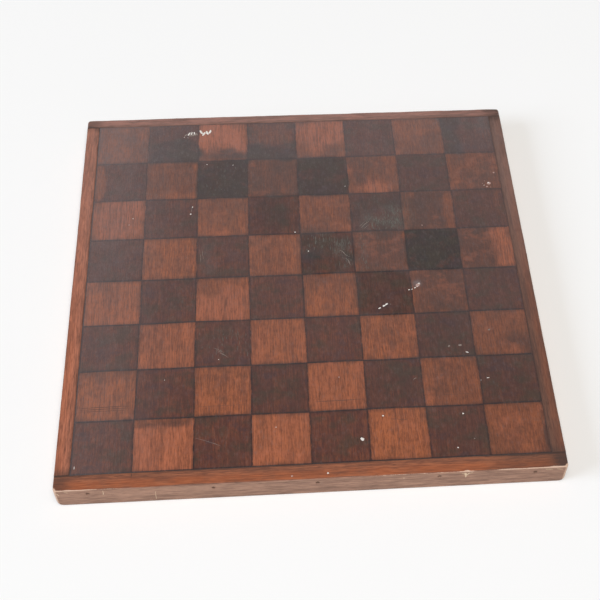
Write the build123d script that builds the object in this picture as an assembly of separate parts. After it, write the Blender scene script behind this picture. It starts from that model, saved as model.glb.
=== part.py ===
"""A square wooden chessboard: one scored panel, four edge strips round it and the pins that hold them.

Origin at the centre of the underside, +Z up. The player with the light pieces sits at -Y, and
square a1 is the corner at -X, -Y. All lengths are in millimetres.
"""

from build123d import *

import os

# Board
square_side = 50.8
squares_per_side = 8
board_thickness = 25.4

# Edge strips, planed by hand to slightly different widths
front_strip_width = 14.3
back_strip_width = 11.1
left_strip_width = 13.0
right_strip_width = 12.4

# Worn edges and corners
corner_radius = 3.0
top_edge_radius = 0.8
bottom_edge_radius = 1.6

# Scored lines of the grid
line_width = 1.0
line_depth = 0.45
line_stop_short = 2.0
first_file_line_overrun = 4.0
file_line_drift = (0.0, 0.4, 0.6, -0.5, -1.3, -1.7, -1.4, -1.1, 0.0)
rank_line_drift = (0.0, 0.7, 1.1, 0.4, 0.2, -0.4, -1.2, -1.4, 0.0)

# Panel pins, driven in from the outer edges
pins_per_strip = 5
pin_length = 30.0
pin_diameter = 1.4
pin_head_diameter = 2.6
pin_head_thickness = 0.9
pin_punch_depth = 1.0
pin_hole_clearance = 0.1
pin_end_inset = 28.0
pin_depth_from_top = 6.5
side_pin_drop = 5.0
front_pin_wander = (0.0, 10.0, 3.0, 12.0, 0.0)
other_pin_wander = (0.0, 4.0, -3.0, 5.0, 0.0)

# Worked out from the sizes above
field_side = square_side * squares_per_side
board_width = left_strip_width + field_side + right_strip_width
board_depth = front_strip_width + field_side + back_strip_width
board_left = -board_width / 2
board_right = board_width / 2
board_front = -board_depth / 2
board_back = board_depth / 2
field_left = board_left + left_strip_width
field_right = board_right - right_strip_width
field_front = board_front + front_strip_width
field_back = board_back - back_strip_width


def board_blank():
    """The whole board as one rounded block, from which every wooden piece takes its outer faces."""
    block = Box(
        board_width, board_depth, board_thickness, align=(Align.CENTER, Align.CENTER, Align.MIN)
    )
    block = fillet(block.edges().filter_by(Axis.Z), corner_radius)
    block = fillet(block.faces().sort_by(Axis.Z)[-1].edges(), top_edge_radius)
    block = fillet(block.faces().sort_by(Axis.Z)[0].edges(), bottom_edge_radius)
    return block


def groove(start, end, across):
    """A V-shaped cutter along X from start to end, whose line lies at Y = across on the top face."""
    section = Plane.YZ.offset(start) * Polygon(
        (across - line_width, board_thickness + line_depth),
        (across + line_width, board_thickness + line_depth),
        (across, board_thickness - line_depth),
        align=None,
    )
    return extrude(section, end - start, dir=(1, 0, 0))


def rank_line(number):
    """The cutter of one line across the board, counted from the front. It stops short at the right."""
    across = field_front + number * square_side + rank_line_drift[number % len(rank_line_drift)]
    on_border = number in (0, squares_per_side)
    right_end = field_right if on_border else field_right - line_stop_short
    return groove(field_left, right_end, across)


def file_line(number):
    """The cutter of one line from front to back, counted from the left. The first inner one overruns."""
    across = field_left + number * square_side + file_line_drift[number % len(file_line_drift)]
    overrun = first_file_line_overrun if number == 1 else 0.0
    return groove(field_front - overrun, field_back, -across).rotate(Axis.Z, 90)


def grid_lines():
    """Cutters for the ruled lines: the border on the joints, the ranks and the files."""
    cutters = []
    for number in range(squares_per_side + 1):
        cutters.append(rank_line(number))
        cutters.append(file_line(number))
    return cutters


def pin_places(strip_length, wander):
    """Distances of the pins from the middle of a strip, evenly spread and then set off by hand."""
    run = strip_length - 2 * pin_end_inset
    step = run / (pins_per_strip - 1)
    places = []
    for number in range(pins_per_strip):
        places.append(-run / 2 + number * step + wander[number % len(wander)])
    return places


def pin_profile(clearance):
    """One pin, or with a clearance the hole that it fills, pointing along +Y from its head at Y = 0."""
    head = Cylinder(
        pin_head_diameter / 2 + clearance,
        pin_head_thickness + clearance,
        align=(Align.CENTER, Align.CENTER, Align.MIN),
    )
    shank_end = pin_length + clearance
    shank = Cylinder(
        pin_diameter / 2 + clearance,
        shank_end - 2 * pin_diameter,
        align=(Align.CENTER, Align.CENTER, Align.MIN),
    )
    point = Pos(0, 0, shank_end - 2 * pin_diameter) * Cone(
        pin_diameter / 2 + clearance,
        pin_diameter / 8,
        2 * pin_diameter,
        align=(Align.CENTER, Align.CENTER, Align.MIN),
    )
    return (head + shank + point).rotate(Axis.X, -90)


def punch_hole():
    """The open end of a pin hole, left where the head is punched below the face of the strip."""
    mouth = Cylinder(
        pin_head_diameter / 2 + pin_hole_clearance,
        2 * pin_punch_depth,
        align=(Align.CENTER, Align.CENTER, Align.CENTER),
    )
    return mouth.rotate(Axis.X, -90)


def strip_pins(turn, strip_length, face_distance, height, wander):
    """The pins of one strip, and the cutters that make their holes.

    The strip is taken to face -Y at face_distance from the middle, and is then turned by turn degrees.
    """
    pins = []
    holes = []
    for place in pin_places(strip_length, wander):
        face = Rot(0, 0, turn) * Pos(place, -face_distance, height)
        head = face * Pos(0, pin_punch_depth, 0)
        pins.append(head * pin_profile(0.0))
        holes.append(head * pin_profile(pin_hole_clearance))
        holes.append(face * punch_hole())
    return pins, holes


def block_between(low_x, high_x, low_y, high_y):
    """A plain block over a rectangle, as tall as the board and a little more."""
    middle = Pos((low_x + high_x) / 2, (low_y + high_y) / 2, board_thickness / 2)
    return middle * Box(high_x - low_x, high_y - low_y, 2 * board_thickness)


end_height = board_thickness - pin_depth_from_top
side_height = end_height - side_pin_drop

front_pins, front_holes = strip_pins(0, board_width, board_back, end_height, front_pin_wander)
right_pins, right_holes = strip_pins(90, board_depth, board_right, side_height, other_pin_wander)
back_pins, back_holes = strip_pins(180, board_width, board_back, end_height, other_pin_wander)
left_pins, left_holes = strip_pins(270, board_depth, board_right, side_height, other_pin_wander)

scored_board = board_blank() - grid_lines()
drilled_board = scored_board - (front_holes + right_holes + back_holes + left_holes)

wooden_pieces = {
    "panel": block_between(field_left, field_right, field_front, field_back),
    "front_lipping": block_between(board_left, board_right, board_front, field_front),
    "back_lipping": block_between(board_left, board_right, field_back, board_back),
    "left_lipping": block_between(board_left, field_left, field_front, field_back),
    "right_lipping": block_between(field_right, board_right, field_front, field_back),
}
pin_groups = {
    "front_pins": front_pins,
    "right_pins": right_pins,
    "back_pins": back_pins,
    "left_pins": left_pins,
}

os.makedirs("parts", exist_ok=True)
for name, region in wooden_pieces.items():
    piece = drilled_board & region
    export_step(piece, f"parts/{name}.step")
for name, pins in pin_groups.items():
    export_step(Compound(children=pins), f"parts/{name}.step")
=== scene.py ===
"""The looks of an old hand-made wooden chessboard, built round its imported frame.

The frame's axes hold throughout: origin at the centre of the underside, +Z up out of the playing face,
and the player's left corner square at -X, -Y. Sizes are written in millimetres, as the maker would
measure them, and become metres when a mesh or a lamp is made.
"""

from __future__ import annotations

import logging
import math
from collections.abc import Callable
from dataclasses import dataclass
from enum import Enum
from typing import Any

import bpy
import numpy as np
from mathutils import Matrix, Vector


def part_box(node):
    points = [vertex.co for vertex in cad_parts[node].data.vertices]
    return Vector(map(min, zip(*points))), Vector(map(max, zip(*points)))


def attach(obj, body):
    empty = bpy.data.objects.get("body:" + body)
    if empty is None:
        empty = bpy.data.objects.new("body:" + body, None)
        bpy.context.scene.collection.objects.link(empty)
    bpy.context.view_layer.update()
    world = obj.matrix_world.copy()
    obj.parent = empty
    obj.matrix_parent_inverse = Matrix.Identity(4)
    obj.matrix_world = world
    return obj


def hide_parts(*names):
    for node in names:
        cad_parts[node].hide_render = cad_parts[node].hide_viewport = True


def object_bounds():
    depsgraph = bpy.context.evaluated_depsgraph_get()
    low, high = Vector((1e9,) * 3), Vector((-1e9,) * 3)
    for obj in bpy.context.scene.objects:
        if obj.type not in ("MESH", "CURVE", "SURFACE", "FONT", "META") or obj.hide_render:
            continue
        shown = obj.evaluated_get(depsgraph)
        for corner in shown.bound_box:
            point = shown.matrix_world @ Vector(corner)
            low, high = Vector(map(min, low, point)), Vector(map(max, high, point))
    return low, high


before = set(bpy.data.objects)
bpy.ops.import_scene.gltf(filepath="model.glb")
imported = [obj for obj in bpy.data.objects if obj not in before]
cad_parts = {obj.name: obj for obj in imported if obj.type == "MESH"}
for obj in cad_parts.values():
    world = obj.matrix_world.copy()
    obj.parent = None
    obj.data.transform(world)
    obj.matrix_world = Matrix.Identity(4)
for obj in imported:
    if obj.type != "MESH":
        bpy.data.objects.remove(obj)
CAD_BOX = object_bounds()

LOG = logging.getLogger("chessboard")
MM = 0.001
BODY = "root"

Array = np.ndarray
Pair = tuple[float, float]
Triple = tuple[float, float, float]

# The ruled grid
SQUARE = 50.8
SQUARES = 8
FILE_LINE_DRIFT = (0.0, 0.4, 0.6, -0.5, -1.3, -1.7, -1.4, -1.1, 0.0)
RANK_LINE_DRIFT = (0.0, 0.7, 1.1, 0.4, 0.2, -0.4, -1.2, -1.4, 0.0)
LINE_HALF_WIDTH = 0.5
LINE_DEPTH = 0.22
LINE_STOP_SHORT = 2.0
FIRST_LINE_OVERRUN = 4.0

# How far the panel lies under the highest point of the frame, so that dried paint has room on it
FACE_DROP = 0.12
# The same for the strips, on average. They lie a little higher than the panel
STRIP_DROP = 0.09

# The lattice of random numbers: how many there are each way, and where on it the origin falls
LATTICE = 64
LATTICE_START = (7.3, 3.9)
# How far each unit of a seed shifts the noise of a material along X, Y and Z
SEED_SHIFT = (3.1, 5.7, 7.9)

# Where the random numbers of each kind of thing start
PATCH_SEED = 100
PATCH_LEAN_SEED = 500
STRIP_SEED = 200
FLECK_SEED = 300
STROKE_SEED = 400


def box_mm(node: str) -> tuple[Array, Array]:
    """Finds the lowest and the highest corner of a node of the frame, in millimetres."""
    low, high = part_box(node)
    return np.array(low) / MM, np.array(high) / MM


def smooth_step(value: Array, low: float, high: float) -> Array:
    """Rises from 0 at low to 1 at high, which may be the smaller one, as 3 t^2 - 2 t^3 of its share t."""
    share = np.clip((value - low) / (high - low), 0.0, 1.0)
    return share * share * (3.0 - 2.0 * share)


def drifting_noise(first: Array, second: Array, size: Pair, seed: int) -> Array:
    """Value noise: random numbers on a lattice, eased between its points with a smooth step.

    Args:
        first: One coordinate of each point, in millimetres.
        second: The other coordinate, of the same shape.
        size: The lattice's pitch along each of them.
        seed: Which random numbers to use.

    Returns:
        A number from -1 to 1 for each point.
    """
    table = np.random.default_rng(seed).uniform(-1.0, 1.0, (LATTICE, LATTICE))
    a = np.asarray(first) / size[0] + LATTICE_START[0]
    b = np.asarray(second) / size[1] + LATTICE_START[1]
    i, j = np.floor(a).astype(int), np.floor(b).astype(int)
    s, t = smooth_step(a - i, 0.0, 1.0), smooth_step(b - j, 0.0, 1.0)
    near, far = (
        table[i % LATTICE, k % LATTICE] * (1 - s) + table[(i + 1) % LATTICE, k % LATTICE] * s
        for k in (j, j + 1)
    )
    return near * (1 - t) + far * t


def line_noise(along: Array, size: float, seed: int) -> Array:
    """Gives drifting noise along one line."""
    return drifting_noise(along, along * 0.0, (size, 1.0), seed)


def close_to(value: Array, place: float, reach: float, core: float) -> Array:
    """Gives 1 within a core round a place, and falls smoothly to 0 at its reach."""
    return smooth_step(np.abs(value - place), reach, core)


def round_drop(distance: Array, radius: Array | float) -> Array:
    """Gives a rounded edge's fall at distance d from it: r - sqrt(r^2 - (r - d)^2) within r, else 0."""
    inside = np.clip(radius - distance, 0.0, radius)
    return radius - np.sqrt(np.maximum(radius * radius - inside * inside, 0.0))


def grid_faces(rows: int, columns: int, closed: bool = False) -> Array:
    """Lists the four-sided faces of a grid of points, row by row.

    Args:
        rows: How many rows of points there are.
        columns: How many points a row has.
        closed: Whether the last point of each row joins the first.

    Returns:
        An array of four point numbers for each face.
    """
    across = np.arange(columns if closed else columns - 1)
    row, column = np.meshgrid(np.arange(rows - 1), across, indexing="ij")
    after = (column + 1) % columns
    corners = (row * columns + column, row * columns + after)
    beyond = ((row + 1) * columns + after, (row + 1) * columns + column)
    return np.stack([part.ravel() for part in (*corners, *beyond)], axis=-1)


def make_piece(
    name: str,
    points: Array,
    faces: list[list[int]],
    attributes: dict[str, Array],
    crease_degrees: float = 38.0,
) -> bpy.types.Object:
    """Makes a mesh object at the origin, with its place in its points.

    Args:
        name: The piece's name.
        points: Its points in millimetres, one row each.
        faces: The point numbers of each face, turning outwards.
        attributes: A number for each point, by the name that the material reads.
        crease_degrees: Edges that bend more than this stay sharp.

    Returns:
        The new object.
    """
    mesh = bpy.data.meshes.new(name)
    mesh.from_pydata((points * MM).tolist(), [], faces)
    mesh.polygons.foreach_set("use_smooth", np.ones(len(mesh.polygons), dtype=bool))
    mesh.set_sharp_from_angle(angle=math.radians(crease_degrees))
    for key, values in attributes.items():
        layer = mesh.attributes.new(key, "FLOAT", "POINT")
        layer.data.foreach_set("value", np.asarray(values, dtype=np.float32).ravel())
    mesh.update()
    piece = bpy.data.objects.new(name, mesh)
    bpy.context.scene.collection.objects.link(piece)
    return piece


def make_copies(name: str, shapes: list[Array], faces: list[list[int]]) -> bpy.types.Object:
    """Makes one piece of many shapes whose points are joined up alike.

    Args:
        name: The piece's name.
        shapes: The points of each shape, in millimetres.
        faces: The point numbers of one shape's faces.

    Returns:
        The new object.
    """
    starts = [len(shapes[0]) * number for number in range(len(shapes))]
    every = [[index + start for index in face] for start in starts for face in faces]
    return make_piece(name, np.concatenate(shapes), every, {})


def operator(operation: str, reverse: bool = False) -> Callable[..., Number]:
    """Makes a method of Number that adds one Math node.

    Args:
        operation: The node's operation.
        reverse: Whether the other number comes first.

    Returns:
        The method.
    """

    def method(self: Number, *others: Any) -> Number:
        """Adds the node, whose result is a number again."""
        sockets = dict(enumerate((*others, self) if reverse else (self, *others)))
        return Number(self.graph, self.graph.node("ShaderNodeMath", sockets, operation=operation).outputs[0])

    return method


class Number:
    """A number in a material, on which plain arithmetic adds Math nodes."""

    __add__ = operator("ADD")
    __radd__ = operator("ADD", reverse=True)
    __sub__ = operator("SUBTRACT")
    __rsub__ = operator("SUBTRACT", reverse=True)
    __mul__ = operator("MULTIPLY")
    __abs__ = operator("ABSOLUTE")
    floor = operator("FLOOR")
    fraction = operator("FRACT")
    at_most = operator("MINIMUM")
    at_least = operator("MAXIMUM")

    def __init__(self, graph: Graph, socket: bpy.types.NodeSocket) -> None:
        """Wraps a socket of one of the graph's nodes."""
        self.graph = graph
        self.socket = socket

    def ramp(self, low: float, high: float, start: float = 0.0, end: float = 1.0) -> Number:
        """Turns a range of values into another with a smooth step, and holds at its ends.

        Args:
            low: The value that gives start.
            high: The value that gives end.
            start: The result at low.
            end: The result at high.

        Returns:
            The result.
        """
        limits = (low, high, start, end) if low <= high else (high, low, end, start)
        sockets = dict(enumerate((self, *limits)))
        made = self.graph.node("ShaderNodeMapRange", sockets, interpolation_type="SMOOTHSTEP")
        return Number(self.graph, made.outputs[0])


class Nodes:
    """The nodes of a material or of the world, with one way to add any of them."""

    def __init__(self, owner: bpy.types.Material | bpy.types.World) -> None:
        """Empties the owner's tree of nodes."""
        owner.use_nodes = True
        self.owner = owner
        self.tree = owner.node_tree
        self.tree.nodes.clear()

    def node(self, kind: str, sockets: dict[Any, Any], **settings: Any) -> bpy.types.Node:
        """Adds a node.

        Args:
            kind: The node's type.
            sockets: A value or a link for each input, by its name or place.
            **settings: Its settings, which are made first.

        Returns:
            The new node.
        """
        made = self.tree.nodes.new(kind)
        for key, value in settings.items():
            setattr(made, key, value)
        for key, value in sockets.items():
            source = value.socket if isinstance(value, Number) else value
            if isinstance(source, bpy.types.NodeSocket):
                self.tree.links.new(source, made.inputs[key])
            else:
                made.inputs[key].default_value = source
        return made


class Graph(Nodes):
    """The nodes of one material, over the object's own coordinates in millimetres."""

    def __init__(self, name: str) -> None:
        """Starts a material of that name."""
        super().__init__(bpy.data.materials.new(name))
        own = self.node("ShaderNodeTexCoord", {}).outputs["Object"]
        scaled = self.node("ShaderNodeVectorMath", {0: own, "Scale": 1 / MM}, operation="SCALE")
        self.place = scaled.outputs[0]

    def part(self, axis: int) -> Number:
        """Reads the place along one axis: 0 for X, 1 for Y or 2 for Z."""
        split = self.node("ShaderNodeSeparateXYZ", {0: self.place})
        return Number(self, split.outputs[axis])

    def attribute(self, name: str) -> Number:
        """Reads a number that the mesh holds for each of its points."""
        made = self.node("ShaderNodeAttribute", {}, attribute_name=name)
        return Number(self, made.outputs["Fac"])

    def noise(self, size: Triple, seed: float, detail: float = 2.0, rough: float = 0.5) -> Number:
        """Adds cloudy noise whose blotches have a size of their own along each axis.

        Args:
            size: A blotch's size along X, Y and Z, in millimetres.
            seed: Shifts the noise, so that two with other seeds differ.
            detail: How many finer layers are added.
            rough: How strong each finer layer is.

        Returns:
            A number from 0 to 1, mostly near the middle.
        """
        rate = tuple(1.0 / length for length in size)
        shift = tuple(seed * step for step in SEED_SHIFT)
        sockets = {0: self.place, 1: rate, 2: shift}
        scaled = self.node("ShaderNodeVectorMath", sockets, operation="MULTIPLY_ADD")
        sockets = {"Vector": scaled.outputs[0], "Scale": 1.0, "Detail": detail, "Roughness": rough}
        return Number(self, self.node("ShaderNodeTexNoise", sockets).outputs[0])

    def coats(self, colour: Any, *coats: tuple[Any, Any]) -> bpy.types.NodeSocket:
        """Lays coats over a colour, one after another.

        Args:
            colour: The colour beneath them.
            *coats: How much of each coat shows, and its colour.

        Returns:
            The colour that is seen.
        """
        for share, coat in coats:
            sockets = {0: share, 6: rgba(colour), 7: rgba(coat)}
            colour = self.node("ShaderNodeMix", sockets, data_type="RGBA").outputs[2]
        return colour

    def finish(
        self, colour: Any, rough: Any, height: Number | None, depth_mm: float, **fixed: float
    ) -> bpy.types.Material:
        """Ends the material in one Principled shader.

        Args:
            colour: Its base colour.
            rough: Its roughness.
            height: What stands out of the surface, from 0 to 1, or None for a smooth one.
            depth_mm: How far a height of 1 stands out.
            **fixed: Other sockets of the shader that are the same all over, by name.

        Returns:
            The finished material.
        """
        sockets: dict[str, Any] = {"Base Color": rgba(colour), "Roughness": rough}
        if height is not None:
            bump = {"Strength": 1.0, "Distance": depth_mm * MM, "Height": height}
            sockets["Normal"] = self.node("ShaderNodeBump", bump).outputs[0]
        sockets.update({key.replace("_", " "): value for key, value in fixed.items()})
        shader = self.node("ShaderNodeBsdfPrincipled", sockets)
        self.node("ShaderNodeOutputMaterial", {0: shader.outputs[0]})
        return self.owner


def rgba(colour: Any) -> Any:
    """Gives a plain colour its fourth number, and leaves a link as it is."""
    return (*colour, 1.0) if isinstance(colour, tuple) and len(colour) == 3 else colour


class PanelGraph(Graph):
    """The nodes of the panel's material, which know where each point lies on the ruled grid."""

    def __init__(self, name: str) -> None:
        """Reads the place in squares, and how far the nearest lines are in millimetres."""
        super().__init__(name)
        self.across = self.attribute("file_place")
        self.along = self.attribute("rank_place")
        self.to_file, self.to_rank = (
            abs((squares + 0.5).fraction() - 0.5) * SQUARE for squares in (self.across, self.along)
        )

    def chance(self, seed: float) -> Number:
        """Draws one random number from 0 to 1 for each square of the grid."""
        cell = self.node("ShaderNodeCombineXYZ", {0: self.across.floor(), 1: self.along.floor(), 2: seed})
        return Number(self, self.node("ShaderNodeTexWhiteNoise", {"Vector": cell.outputs[0]}).outputs[0])

    def checker(self, wander: float) -> Number:
        """Finds the squares that are stained, with edges that wander as a brush does.

        Args:
            wander: How far the edges come and go, in squares.

        Returns:
            1 on a stained square and 0 on a bare one.
        """
        sway, lean = ((self.noise((9.0, 9.0, 9.0), seed, 4.0, 0.65) - 0.5) * wander for seed in (31.0, 37.0))
        odd = ((self.across + sway).floor() + (self.along + lean).floor()) * 0.5
        return 1.0 - odd.fraction() * 2.0

    def ink_lines(self) -> Number:
        """Works out how black the ruled lines are: uneven, fainter to the back, bare where they stop.

        Returns:
            From 0, bare, to 1, black.
        """
        across, along = self.across, self.along
        uneven = self.noise((14.0, 14.0, 14.0), 41.0, 3.0, 0.6)
        ragged = self.noise((1.4, 1.4, 1.4), 43.0, 2.0)
        spread = ragged * 0.5 + uneven * 0.5
        to_file = self.to_file - spread * 0.55
        to_rank = self.to_rank - spread * 0.75
        last_rank_end = SQUARES - LINE_STOP_SHORT / SQUARE
        stop = along.ramp(-1.0, -0.5) * across.ramp(last_rank_end, SQUARES - 0.03, 1.0, 0.3)
        far_right = across.ramp(SQUARES - 0.1, SQUARES - 0.02, 1.0, 0.55)
        far_back = along.ramp(SQUARES - 0.1, SQUARES - 0.02, 1.0, 0.45)
        faint = along.ramp(3.0, 7.0, 1.0, 0.32) * across.ramp(4.5, 7.0, 1.0, 0.60)
        file_ink = to_file.ramp(0.40, 0.05) * uneven.ramp(0.35, 0.62, 0.15, 0.8) * far_right * faint
        rank_ink = to_rank.ramp(0.45, 0.10) * uneven.ramp(0.72, 0.38, 0.5, 1.0) * stop * far_back
        rank_ink = rank_ink * along.ramp(3.0, 7.5, 1.0, 0.50)
        from_edge = across.at_most(along) * SQUARE - ragged * 0.5
        return file_ink.at_least(rank_ink).at_least(from_edge.ramp(1.0, 0.3))


class Grain(Enum):
    """Which way the grain of a piece of wood runs."""

    SIDE_TO_SIDE = "x"
    FRONT_TO_BACK = "y"

    def size(self, across: float, along: float) -> tuple[float, float, float]:
        """Gives the size of a streak of grain.

        Args:
            across: Its width, in millimetres.
            along: Its length.

        Returns:
            Its size along X, Y and Z.
        """
        if self is Grain.SIDE_TO_SIDE:
            return along, across, across
        return across, along, across


@dataclass(frozen=True)
class Mahogany:
    """Open-pored reddish wood: wide bands, ribbons, fine streaks and short dark pores along the grain.

    Attributes:
        grain: Which way the grain runs.
        pale: The colour of the palest streaks.
        deep: The colour of the darkest streaks.
        seed: Which piece of wood it is.
        contrast: How much the streaks differ.
        pore: The colour inside the pores.
        pore_depth: How much of that colour a whole pore shows.
    """

    grain: Grain
    pale: Triple
    deep: Triple
    seed: float = 0.0
    contrast: float = 1.0
    pore: Triple = (0.05, 0.016, 0.009)
    pore_depth: float = 0.55

    def streak(self, graph: Graph, across: float, along: float, shift: float, detail: float = 1.0) -> Number:
        """Adds noise whose blotches are that wide and that long, in millimetres, shifted for this wood."""
        return graph.noise(self.grain.size(across, along), self.seed + shift, detail)

    def streaks(self, graph: Graph) -> tuple[Number, Number]:
        """Works out the figure of the wood.

        Args:
            graph: The material that it is for.

        Returns:
            The tone of the wood, 0 deep to 1 pale, and where its pores are, 0 to 1.
        """
        band = self.streak(graph, 24.0, 300.0, 1.3) - 0.5
        ribbon = self.streak(graph, 6.0, 70.0, 2.9, 2.0) - 0.5
        streak = self.streak(graph, 1.2, 30.0, 4.1) - 0.5
        thread = self.streak(graph, 0.7, 12.0, 5.2) - 0.5
        dash = self.streak(graph, 0.9, 8.0, 6.7)
        hair = self.streak(graph, 0.4, 4.5, 8.3, 0.0)
        mixed = band * 1.1 + ribbon * 1.1 + streak * 2.0 + thread * 2.8
        tone = (mixed * self.contrast + 0.5).ramp(-0.1, 1.1)
        pores = dash.ramp(0.56, 0.72) * 0.8 + hair.ramp(0.60, 0.76) * 0.4
        return tone, pores.at_most(1.0)

    def colour(self, graph: Graph, tone: Number, pores: Number) -> bpy.types.NodeSocket:
        """Colours the wood by its tone, from 0 deep to 1 pale, and by how much of a pore shows."""
        return graph.coats(self.deep, (tone, self.pale), (pores * self.pore_depth, self.pore))


@dataclass(frozen=True)
class PanelFinish:
    """The playing face: mahogany, stained squares, inked lines, old dirty varnish, and haze that is partly a
    bloom and partly painted sheen.

    Attributes:
        wood: The wood of the panel.
        raw: The bare wood of its underside.
        stain: The colour of the dark stain.
        ink: The colour in the ruled lines.
        green_black: The colour of the dark spill over the back squares.
        brown: The colour of dirty varnish.
        olive: The colour that the stain has faded to in places.
        plum: The colour of cold smudges on the stain.
        ruddy: The colour of places where the stain is thin.
        amber: The colour of places where the varnish is clean.
        bloom: The colour of the mouldy bloom in the middle of the board.
        haze: The colour of the dull bloom on the varnish and of the painted sheen.
        brush_wander: How far the stain's edges come and go, in squares.
        gloss: How strongly the varnish mirrors.
        relief_mm: How deep its pores are.
    """

    wood: Mahogany
    raw: Mahogany
    stain: Triple = (0.076, 0.0265, 0.0205)
    ink: Triple = (0.016, 0.011, 0.012)
    green_black: Triple = (0.022, 0.0225, 0.020)
    brown: Triple = (0.058, 0.028, 0.022)
    olive: Triple = (0.046, 0.036, 0.025)
    plum: Triple = (0.050, 0.030, 0.034)
    ruddy: Triple = (0.100, 0.040, 0.030)
    amber: Triple = (0.44, 0.140, 0.075)
    bloom: Triple = (0.145, 0.150, 0.132)
    haze: Triple = (0.185, 0.157, 0.160)
    brush_wander: float = 0.075
    gloss: float = 0.18
    relief_mm: float = 0.10

    def make(self) -> bpy.types.Material:
        """Builds the material: textures first, then how much of each coat shows, then the coats.

        Returns:
            The finished material.
        """
        graph = PanelGraph("panel_finish")
        film = {kind: graph.attribute(kind.value) for kind in Film}
        cloud = graph.noise((19.0, 24.0, 19.0), 51.0, 3.0, 0.6)
        fine = graph.noise((0.6, 2.2, 0.6), 53.0, 2.0, 0.6)
        blotch = graph.noise((13.0, 21.0, 13.0), 57.0, 4.0, 0.65)
        grit = graph.noise((2.4, 5.0, 2.4), 59.0, 5.0, 0.72)
        scuff = graph.noise((5.0, 1.0, 5.0), 61.0, 4.0, 0.7).ramp(0.56, 0.76)
        smoke = graph.noise((24.0, 17.0, 20.0), 63.0, 5.0, 0.62)
        glow = graph.noise((19.0, 15.0, 20.0), 67.0, 5.0, 0.62)
        speck = graph.noise((0.8, 2.6, 0.8), 69.0, 2.0, 0.6).ramp(0.46, 0.66)

        # Every square has a tone of its own, and the front rank is paler
        tone, pores = self.wood.streaks(graph)
        lot = graph.chance(3.0) - 0.5
        tone = tone + lot * 0.22 + graph.along.ramp(1.02, 0.98) * 0.16
        tone = tone.at_most(1.0).at_least(0.0)

        # Dirty varnish beside the lines and in blotches, and the stain, which takes unevenly
        edge = (graph.to_file.at_most(graph.to_rank) - cloud * 1.8).ramp(1.2, -0.6)
        fringe = (graph.to_rank - cloud * 5.0).ramp(2.0, -2.5) * 0.42
        fringe = fringe + (graph.to_file - cloud * 3.5).ramp(1.2, -1.8) * 0.24
        fringe = fringe + (blotch - 0.45).at_least(0.0) * 1.4
        stained = graph.checker(self.brush_wander) * (1.0 - film[Film.BARE])
        bite = 0.88 + tone * -0.18 + cloud.ramp(0.3, 0.7) * 0.12 + edge * 0.06 + pores * 0.05
        bite = bite + lot * 0.05

        # Films that lie on single places, each broken up by the textures
        soil = film[Film.BROWN] * (0.55 + cloud * 0.5 + fine * 0.4)
        spill = film[Film.GREEN] * (0.40 + blotch * 0.65 + fine * 0.50 - pores * 0.15)
        spared = (1.0 - stained) * (1.0 - film[Film.GREEN])
        warm = glow.ramp(0.52, 0.70) * 0.25 + film[Film.CLEAN] * (0.4 + tone * 1.2)
        dust = grit.ramp(0.50, 0.72) * 0.15 + scuff * 0.05
        # Haze, partly bloom and partly painted sheen, with real grit and scuffs over it
        dust_and_sheen = film[Film.HAZE_AND_SHEEN] * (0.15 + blotch * 0.7 + fine * 1.0) + dust
        mould = film[Film.BLOOM] * (speck * 0.7 + blotch * 1.0 - 0.30)
        under = graph.part(2).ramp(3.0, 1.0)

        colour = graph.coats(
            self.wood.colour(graph, tone, pores),
            (fringe.at_most(0.8), self.brown),
            (stained * bite.at_most(0.95), self.stain),
            (soil.at_most(0.95), self.brown),
            (spill.at_most(0.96), self.green_black),
            (smoke.ramp(0.46, 0.64) * (0.16 + stained * 0.44), self.olive),
            (smoke.ramp(0.48, 0.32) * (0.10 + stained * 0.45), self.plum),
            (glow.ramp(0.52, 0.68) * (stained * 0.55), self.ruddy),
            ((warm * spared).at_most(0.9), self.amber),
            (grit.ramp(0.54, 0.32) * (0.26 + stained * 0.06), self.ink),
            (edge * (0.10 + stained * 0.32), self.ink),
            (graph.ink_lines() * 0.92, self.ink),
            (dust_and_sheen.at_most(0.8), self.haze),
            (mould.at_least(0.0).at_most(0.8), self.bloom),
            (under, self.raw.colour(graph, *self.raw.streaks(graph))),
        )
        rough = 0.40 + fine * 0.16 + film[Film.HAZE_AND_SHEEN] * 0.35 + under * 0.25 + pores * 0.1
        height = 1.0 - pores * 0.6 + tone * 0.2 + fine * 0.3
        return graph.finish(colour, rough, height, self.relief_mm, Specular_IOR_Level=self.gloss)


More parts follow.
